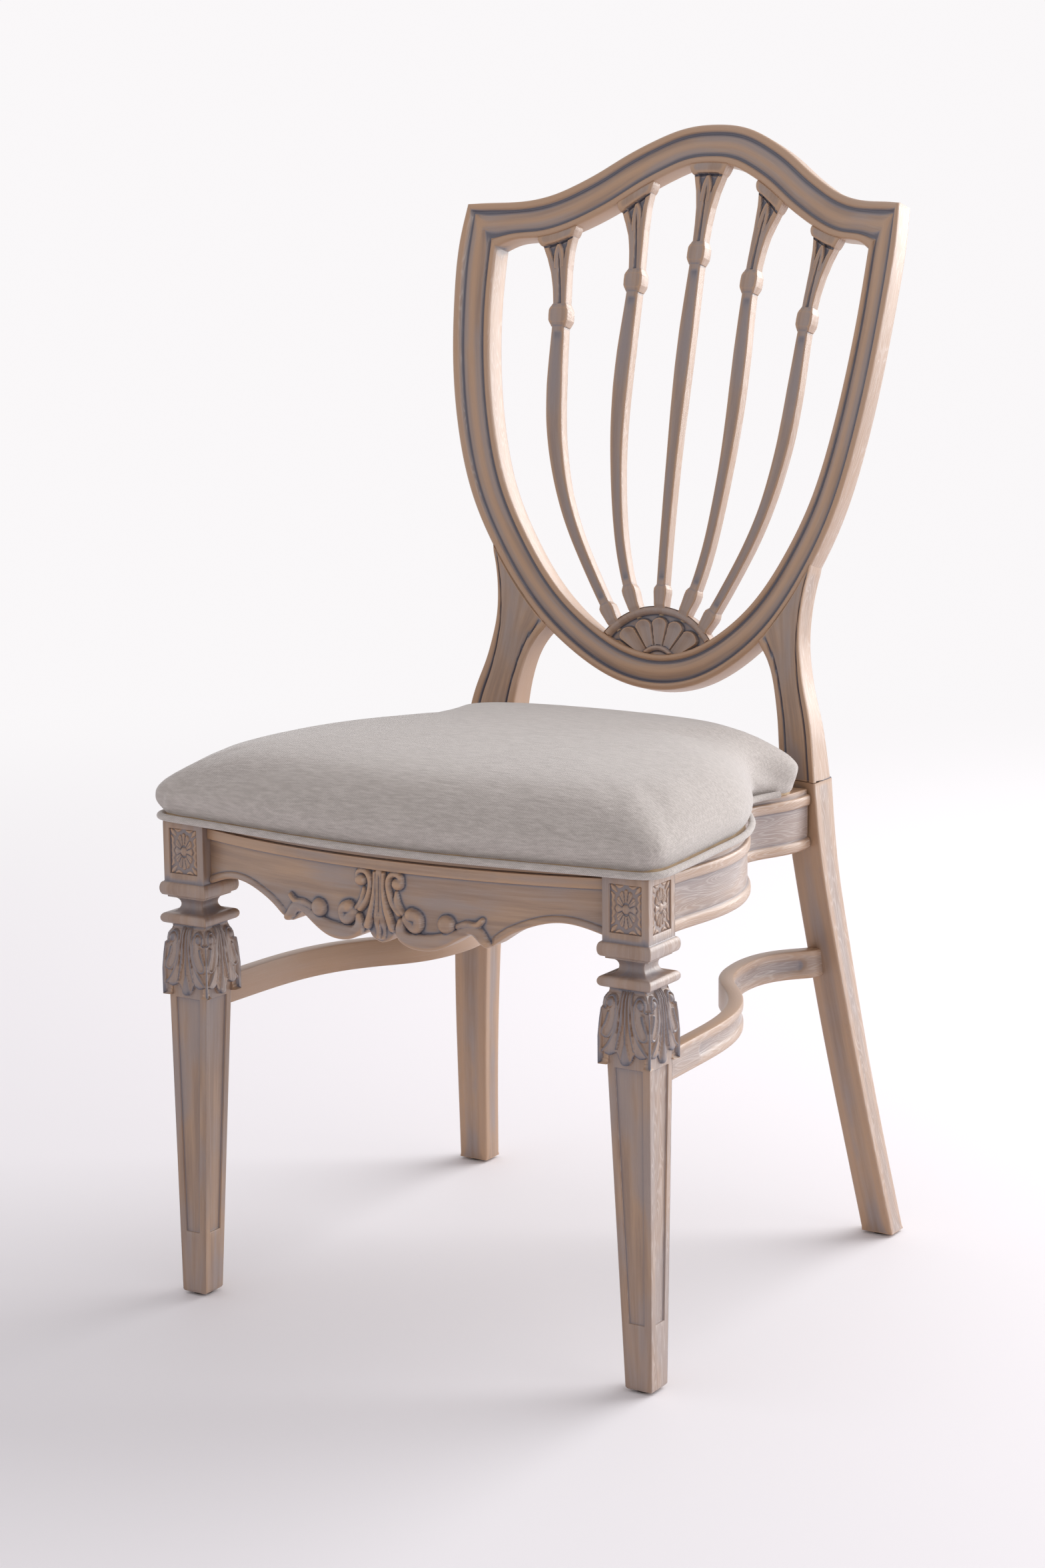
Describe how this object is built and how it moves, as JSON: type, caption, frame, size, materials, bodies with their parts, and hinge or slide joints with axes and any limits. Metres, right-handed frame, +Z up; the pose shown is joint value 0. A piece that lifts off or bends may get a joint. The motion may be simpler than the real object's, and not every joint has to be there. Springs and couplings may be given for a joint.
{
  "type": "dining chair",
  "caption": "Shield-back plastic dining chair with a wood look, curved seat rails, tapered panelled front legs and an upholstered seat, for sitting at a table.",
  "frame": {"origin": "on the floor, under the middle of the chair's box", "axes": "+Z up, -Y to the front where the sitter's knees are, +X to the sitter's left, which is the right side when seen from the front"},
  "size_m": [0.4846, 0.5802, 0.9759],
  "materials": {
    "frame_resin": "satin wood-grained resin, antiqued with a grey wash in the recesses",
    "inner_resin": "plain moulded",
    "dowel_wood": "plain turned",
    "board": "raw plywood",
    "foam": "open-cell foam",
    "seat_fabric": "woven, matt",
    "dust_cloth": "thin non-woven",
    "steel": "zinc plated",
    "glide": "smooth nail-on glide"
  },
  "bodies": {
    "root": {"apron_dowels": "dowel_wood", "back_upright_left": "frame_resin", "back_upright_right": "frame_resin", "block_bolts": "steel", "block_nuts": "steel", "block_screws": "steel", "block_washers": "steel", "corner_block_front_left": "inner_resin", "corner_block_front_right": "inner_resin", "corner_block_rear_left": "inner_resin", "corner_block_rear_right": "inner_resin", "dust_cover": "dust_cloth", "fan_pins": "dowel_wood", "fan_rosette": "frame_resin", "foot_glides": "glide", "front_apron": "frame_resin", "front_leg_left": "frame_resin", "front_leg_right": "frame_resin", "rail_dowels": "dowel_wood", "rear_leg_left": "frame_resin", "rear_leg_right": "frame_resin", "rear_seat_rail": "inner_resin", "seat_board": "board", "seat_cover": "seat_fabric", "seat_foam": "foam", "seat_screws": "steel", "seat_welt": "seat_fabric", "shield_dowels": "dowel_wood", "shield_frame": "frame_resin", "side_rail_left": "frame_resin", "side_rail_right": "frame_resin", "splat_centre": "frame_resin", "splat_inner_left": "frame_resin", "splat_inner_right": "frame_resin", "splat_outer_left": "frame_resin", "splat_outer_right": "frame_resin", "splat_pins": "dowel_wood", "stretcher_dowels": "dowel_wood", "stretcher_left": "frame_resin", "stretcher_right": "frame_resin", "upright_dowels": "dowel_wood"}
  },
  "joints": []
}
